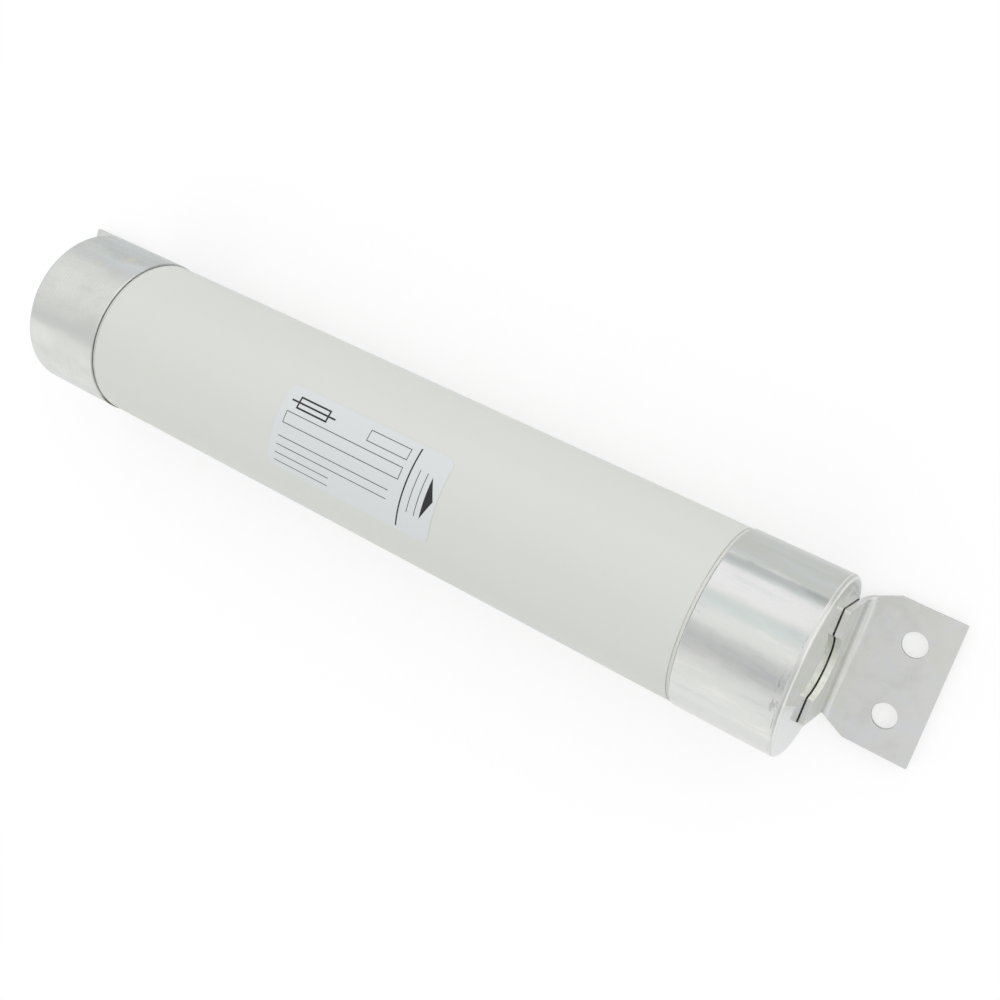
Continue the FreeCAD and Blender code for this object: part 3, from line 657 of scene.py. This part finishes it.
def make_caps():
    right = lathe("cap_right", cap_outline(SEAL_R + RUNNING_GAP))
    left = turned_left(lathe("cap_left", cap_outline(0)))
    for name, mesh, material in (("cap_right", right, CAP_PLATE), ("cap_left", left, SATIN_PLATE)):
        piece = add_piece(name, mesh, material, "fuse", ("outer_caps",))
        weigh_normals(piece)


# Tags: a flat sheet with its holes, folded over the bend

def along_blade(x):
    """Length along the flat sheet, from the foot's top edge, of a place on the blade."""
    return BEND_START + BEND_LENGTH + x - BEND_X


def tag_outline():
    """The flat sheet's outline, as length along it and place across it."""
    foot_side = arc_points((FOOT_CORNER, FOOT_HALF - FOOT_CORNER), FOOT_CORNER, 180, 90, 4)
    half = foot_side + [
        (BEND_START + SHOULDER_START, FOOT_BASE_HALF),
        (along_blade(FOOT_BACK_X + SHEET + SHOULDER), BLADE_HALF),
        (along_blade(BLADE_TIP_X), BLADE_HALF),
    ]
    corner_y = math.sqrt((NOTCH_R + NOTCH_CORNER) ** 2 - (NOTCH_CORNER - FOOT_TOP_Z) ** 2)
    start = math.degrees(math.atan2(corner_y, NOTCH_CORNER - FOOT_TOP_Z))
    notch = arc_points((FOOT_TOP_Z, 0), NOTCH_R, -start, start, 40)
    corner = arc_points((NOTCH_CORNER, corner_y), NOTCH_CORNER, 180, 180 + start, 4)
    half = corner[::-1][1:] + half
    return half + [(s, -y) for s, y in reversed(half)] + notch


def hole_outline(centre):
    steps = 60
    return arc_points(centre, BOLT_R, 0, 360, steps)[:-1]


def fold(s, y, t):
    """Place in space of a point of the flat sheet. The height t is 0 on the outside of the bend."""
    if s <= BEND_START:
        return Vector((FOOT_BACK_X + t, y, FOOT_TOP_Z - s)) * MM
    if s >= BEND_START + BEND_LENGTH:
        return Vector((BEND_X + s - BEND_START - BEND_LENGTH, y, BLADE_TOP_Z - SHEET + t)) * MM
    angle = math.pi + (s - BEND_START) / BEND_LENGTH * math.pi / 2
    radius = BEND_IN + SHEET - t
    return Vector((BEND_X + radius * math.cos(angle), y, BEND_Z + radius * math.sin(angle))) * MM


def add_spline(curve, points):
    spline = curve.splines.new("POLY")
    spline.points.add(len(points) - 1)
    for point, (x, y) in zip(spline.points, points):
        point.co = (x, y, 0, 1)
    spline.use_cyclic_u = True


def flat_sheet(name, edge):
    """The sheet before it is folded, filled as a flat curve with rounded edges."""
    curve = bpy.data.curves.new(name, "CURVE")
    curve.dimensions = "2D"
    curve.fill_mode = "BOTH"
    curve.extrude = SHEET / 2 - edge
    curve.bevel_depth = edge
    curve.bevel_resolution = 2
    curve.offset = -edge
    add_spline(curve, tag_outline())
    for side in (-1, 1):
        add_spline(curve, hole_outline((along_blade(BOLT_X), side * BOLT_Y)))
    sheet = bpy.data.objects.new(name, curve)
    bpy.context.collection.objects.link(sheet)
    graph = bpy.context.evaluated_depsgraph_get()
    mesh = bpy.data.meshes.new_from_object(sheet.evaluated_get(graph))
    bpy.data.objects.remove(sheet)
    return mesh


# Materials of a tag, in the order of its slots
TAG_MATERIALS = (TAG_PLATE, CUT_EDGE, NOTCH_EDGE)


def make_tag_mesh(name):
    """The flat sheet is sliced across the bend, its walls get their materials, and it is folded."""
    edge = 0.18
    slices = 14
    flat = flat_sheet(name, edge)
    bm = bmesh.new()
    bm.from_mesh(flat)
    bpy.data.meshes.remove(flat)
    bmesh.ops.remove_doubles(bm, verts=bm.verts[:], dist=1e-4)
    for step in range(slices + 1):
        slice_across(bm, (BEND_START + BEND_LENGTH * step / slices, 0, 0), (1, 0, 0))
    bm.normal_update()
    for face in bm.faces:
        middle = face.calc_center_median()
        is_wall = abs(face.normal.z) < 0.3
        on_blade = middle.x > BEND_START + BEND_LENGTH
        in_notch = math.hypot(middle.x - FOOT_TOP_Z, middle.y) < NOTCH_R + edge
        if is_wall and on_blade:
            face.material_index = TAG_MATERIALS.index(CUT_EDGE)
        elif is_wall and in_notch:
            face.material_index = TAG_MATERIALS.index(NOTCH_EDGE)
    for vert in bm.verts:
        vert.co = fold(vert.co.x, vert.co.y, vert.co.z + SHEET / 2)
    return finished_mesh(name, bm, 30)


def make_tags():
    right = make_tag_mesh("tag_plate_right_sheet")
    left = turned_left(make_tag_mesh("tag_plate_left_sheet"))
    for mesh, node in ((right, "tag_right"), (left, "tag_left")):
        piece = add_piece(mesh.name, mesh, TAG_MATERIALS[0], "fuse", (node,))
        for material in TAG_MATERIALS[1:]:
            mesh.materials.append(material)
        weigh_normals(piece)


# Label and its print, laid out flat as x and arc in millimetres, then rolled on to the barrel.
# A box or bar is given by its two places along x, then its two places along the arc.

FINE_LINE = 0.35
BOLD_LINE = 0.8
PRINT_LEFT = -42.0
BOX_RIGHT = 21.5
SYMBOL = (-38.5, -21.5, -15.3, -9.5)
SYMBOL_WIRE = 3.5
SMALL_BOX = (0.0, BOX_RIGHT, -15.6, -10.4)
LONG_BOX = (PRINT_LEFT, BOX_RIGHT, -7.2, -1.6)
LONG_RULES = (4.2, 8.2)
LONG_RULE_END = 18.5
SHORT_RULES = (12.2, 16.0)
SHORT_RULE_END = -12.0
DIVIDER = (25.1, 25.8, -17.6, 17.9)
SIDE_RULES = (29.4, 33.2)
SIDE_RULE_HALF = 9.5
POINTER = [(36.1, -8.9), (40.3, 0.3), (36.1, 9.7)]


def rolled(name, outlines, low_r, high_r):
    """A thin closed plate on the barrel, over one or more outlines."""
    slice_arc = 0.8
    bm = bmesh.new()
    for outline in outlines:
        bm.faces.new([bm.verts.new((x, arc, 0)) for x, arc in outline])
    low = min(vert.co.y for vert in bm.verts)
    high = max(vert.co.y for vert in bm.verts)
    for step in range(1, math.ceil((high - low) / slice_arc)):
        slice_across(bm, (0, low + step * slice_arc, 0), (0, 1, 0))
    raised = bmesh.ops.extrude_face_region(bm, geom=bm.faces[:], use_keep_orig=True)
    for item in raised["geom"]:
        if isinstance(item, bmesh.types.BMVert):
            item.co.z = 1
    for vert in bm.verts:
        radius = high_r if vert.co.z > 0.5 else low_r
        angle = math.radians(LABEL_ANGLE) + vert.co.y / BARREL_R
        vert.co = Vector((vert.co.x, radius * math.cos(angle), radius * math.sin(angle))) * MM
    return finished_mesh(name, bm)


def bar(x0, x1, arc0, arc1):
    return [(x0, arc0), (x1, arc0), (x1, arc1), (x0, arc1)]


def box_lines(x0, x1, arc0, arc1, line):
    """The four sides of an empty box, as bars."""
    return [
        bar(x0, x1, arc0, arc0 + line),
        bar(x0, x1, arc1 - line, arc1),
        bar(x0, x0 + line, arc0 + line, arc1 - line),
        bar(x1 - line, x1, arc0 + line, arc1 - line),
    ]


def fuse_symbol():
    """A box with a line through it, as circuit diagrams show a fuse."""
    left, right, low, high = SYMBOL
    middle = (low + high) / 2
    spans = [(left - SYMBOL_WIRE, left), (left + BOLD_LINE, right - BOLD_LINE), (right, right + SYMBOL_WIRE)]
    wire = [bar(start, end, middle - BOLD_LINE / 2, middle + BOLD_LINE / 2) for start, end in spans]
    return box_lines(*SYMBOL, BOLD_LINE) + wire


def label_outline():
    points = []
    for side_x, side_arc, start in ((1, 1, 0), (-1, 1, 90), (-1, -1, 180), (1, -1, 270)):
        centre = (LABEL_X + side_x * (LABEL_HALF_X - LABEL_CORNER),
                  LABEL_ARC + side_arc * (LABEL_HALF_ARC - LABEL_CORNER))
        points += arc_points(centre, LABEL_CORNER, start, start + 90, 8)
    return points


def make_label():
    paper_r = LABEL_R + LABEL_THICK
    paper = rolled("label_paper", [label_outline()], LABEL_R, paper_r)
    add_piece("label_paper", paper, PAPER, "fuse", ("label",))
    long_rules = [bar(PRINT_LEFT, LONG_RULE_END, arc, arc + FINE_LINE) for arc in LONG_RULES]
    short_rules = [bar(PRINT_LEFT, SHORT_RULE_END, arc, arc + FINE_LINE) for arc in SHORT_RULES]
    side_rules = [bar(x, x + FINE_LINE, -SIDE_RULE_HALF, SIDE_RULE_HALF) for x in SIDE_RULES]
    black = {
        "label_divider": [bar(*DIVIDER)],
        "label_pointer": [POINTER],
        "label_fuse_symbol": fuse_symbol(),
    }
    grey = {
        "label_rating_boxes": box_lines(*SMALL_BOX, FINE_LINE) + box_lines(*LONG_BOX, FINE_LINE),
        "label_rules": long_rules + short_rules,
        "label_side_rules": side_rules,
    }
    for marks, ink in ((black, BLACK_INK), (grey, GREY_INK)):
        for name, outlines in marks.items():
            mesh = rolled(name, outlines, paper_r - PRINT_THICK / 2, paper_r + PRINT_THICK)
            add_piece(name, mesh, ink, "fuse")


make_barrel()
make_caps()
make_tags()
make_label()


# Floor, with its sizes in metres

FLOOR_RADIUS = 0.6
PLAIN_FROM = 0.26
PLAIN_PAST = 0.42
PAINT = (0.72, 0.72, 0.72, 1)
PAINT_SEEN = (0.42, 0.42, 0.42, 1)
GLOW_IN_METAL = 0.26
GLOW_SEEN = 0.61


def make_floor_material():
    """White table that fades to plain white away from the object. Metal sees its middle a little dimmer, the
    camera sees a faint shadow, and from below the table is clear."""
    material = bpy.data.materials.new("floor_white")
    add = functools.partial(add_node, empty_tree(material))
    seen = add("ShaderNodeLightPath").outputs
    by_camera = seen["Is Camera Ray"]
    by_eye = add("ShaderNodeMath", {0: by_camera, 1: seen["Is Glossy Ray"]}, operation="MAXIMUM").outputs[0]
    colours = {"Factor": by_camera, MIX_UNDER: PAINT, MIX_OVER: PAINT_SEEN}
    colour = add("ShaderNodeMix", colours, data_type="RGBA").outputs[MIX_RESULT]
    paint = add("ShaderNodeBsdfDiffuse", {"Color": colour}).outputs[0]
    strength = add("ShaderNodeMath", {0: by_camera, 1: GLOW_SEEN - GLOW_IN_METAL, 2: GLOW_IN_METAL},
                   operation="MULTIPLY_ADD")
    glow = add("ShaderNodeEmission", {"Strength": strength.outputs[0]})
    near = add("ShaderNodeAddShader", {0: paint, 1: glow.outputs[0]})
    lit = add("ShaderNodeMixShader", {0: by_eye, 1: paint, 2: near.outputs[0]})
    place = add("ShaderNodeTexCoord").outputs["Object"]
    distance = add("ShaderNodeVectorMath", {0: place}, operation="LENGTH")
    away = add("ShaderNodeMapRange",
               {"Value": distance.outputs["Value"], "From Min": PLAIN_FROM, "From Max": PLAIN_PAST},
               interpolation_type="SMOOTHSTEP")
    amount = add("ShaderNodeMath", {0: away.outputs["Result"], 1: by_eye}, operation="MULTIPLY")
    white = add("ShaderNodeEmission", {"Strength": 1.0})
    top = add("ShaderNodeMixShader", {0: amount.outputs[0], 1: lit.outputs[0], 2: white.outputs[0]})
    below = add("ShaderNodeNewGeometry").outputs["Backfacing"]
    clear = add("ShaderNodeBsdfTransparent")
    one_sided = add("ShaderNodeMixShader", {0: below, 1: top.outputs[0], 2: clear.outputs[0]})
    add("ShaderNodeOutputMaterial", {"Surface": one_sided.outputs[0]})
    return material


def make_floor():
    bm = bmesh.new()
    bmesh.ops.create_circle(bm, cap_ends=True, segments=96, radius=FLOOR_RADIUS)
    mesh = bpy.data.meshes.new("floor")
    bm.to_mesh(mesh)
    bm.free()
    mesh.materials.append(make_floor_material())
    floor = bpy.data.objects.new("floor", mesh)
    bpy.context.collection.objects.link(floor)
    floor.location.z = -CAP_R * MM


# Studio: the world's brightness round the object's axis, in degrees from +Y over the top towards -Y.
# Each list is what one stretch of directions along X shows. Some bands have a tint.
PLAIN = (1.0, 1.0, 1.0)
VIOLET = (1.015, 1.0, 1.035)
BLUE = (0.985, 1.0, 1.03)
AQUA = (0.945, 1.0, 1.02)
POLISHED_BANDS = [
    (-180, 1.00), (-30, 0.90), (-14, 0.76, BLUE), (-6, 0.65, BLUE), (2, 0.66, AQUA), (7, 0.80, AQUA),
    (10, 1.00, VIOLET), (16, 1.07, VIOLET), (38, 1.07, VIOLET), (43, 1.04), (49, 0.90, AQUA),
    (55, 0.87, AQUA), (62, 0.92, AQUA), (70, 0.985), (80, 0.985), (87, 0.92), (94, 0.77), (102, 0.68, BLUE),
    (112, 0.66, BLUE), (119, 0.72), (128, 0.87), (136, 0.93), (146, 0.95), (156, 0.98), (180, 1.00),
]
SATIN_BANDS = [
    (-180, 1.00), (-60, 0.85), (-13, 0.85), (4, 0.86), (12, 0.86), (20, 0.885), (29, 0.91), (37, 0.955),
    (62, 0.965), (70, 0.945), (78, 0.92), (87, 0.885), (95, 0.85), (103, 0.845), (112, 0.82), (121, 0.78),
    (125, 0.86), (128, 0.99), (136, 1.05), (150, 1.05), (180, 0.99),
]
TAG_BANDS = [
    (-180, 1.00), (0, 0.95), (60, 0.92), (90, 0.83), (120, 0.83), (150, 0.95), (180, 1.00),
]
SOFTBOX_BANDS = [
    (-180, 0.90), (-30, 1.25), (0, 1.42), (50, 1.40), (80, 1.22), (105, 0.88), (150, 0.72), (180, 0.85),
]
# Zones laid over the polished bands, each with the directions along X where it starts and is full
ZONES = [
    (SATIN_BANDS, -0.30, -0.62),
    (TAG_BANDS, -0.16, -0.12),
    (SOFTBOX_BANDS, 0.05, 0.35),
]


def add_bands(add, turn, bands):
    """The colour of one list of bands, where turn runs from 0 at -180 degrees to 1 at 180."""
    ramp = add("ShaderNodeValToRGB", {0: turn})
    stops = ramp.color_ramp.elements
    while len(stops) < len(bands):
        stops.new(0.5)
    for stop, (degrees, level, *tint) in zip(stops, bands):
        stop.position = (degrees + 180) / 360
        stop.color = (*scaled(tint[0] if tint else PLAIN, level), 1)
    return ramp.outputs["Color"]


def make_world():
    """The camera sees plain white, and everything else sees the bands."""
    world = bpy.data.worlds.new("studio")
    scene.world = world
    add = functools.partial(add_node, empty_tree(world))
    place = add("ShaderNodeTexCoord").outputs["Generated"]
    direction = add("ShaderNodeSeparateXYZ", {"Vector": place}).outputs
    angle = add("ShaderNodeMath", {0: direction["Z"], 1: direction["Y"]}, operation="ARCTAN2").outputs[0]
    turn = add("ShaderNodeMapRange", {"Value": angle, "From Min": -math.pi, "From Max": math.pi}).outputs[0]
    light = add_bands(add, turn, POLISHED_BANDS)
    for bands, start, full in ZONES:
        share = add("ShaderNodeMapRange", {"Value": direction["X"], "From Min": start, "From Max": full},
                    interpolation_type="SMOOTHSTEP").outputs["Result"]
        colours = {"Factor": share, MIX_UNDER: light, MIX_OVER: add_bands(add, turn, bands)}
        light = add("ShaderNodeMix", colours, data_type="RGBA").outputs[MIX_RESULT]
    studio = add("ShaderNodeBackground", {"Color": light})
    white = add("ShaderNodeBackground", {"Color": (1, 1, 1, 1)})
    by_camera = add("ShaderNodeLightPath").outputs["Is Camera Ray"]
    choose = add("ShaderNodeMixShader", {0: by_camera, 1: studio.outputs[0], 2: white.outputs[0]})
    add("ShaderNodeOutputWorld", {"Surface": choose.outputs[0]})


scene.view_settings.view_transform = "Standard"
make_floor()
make_world()
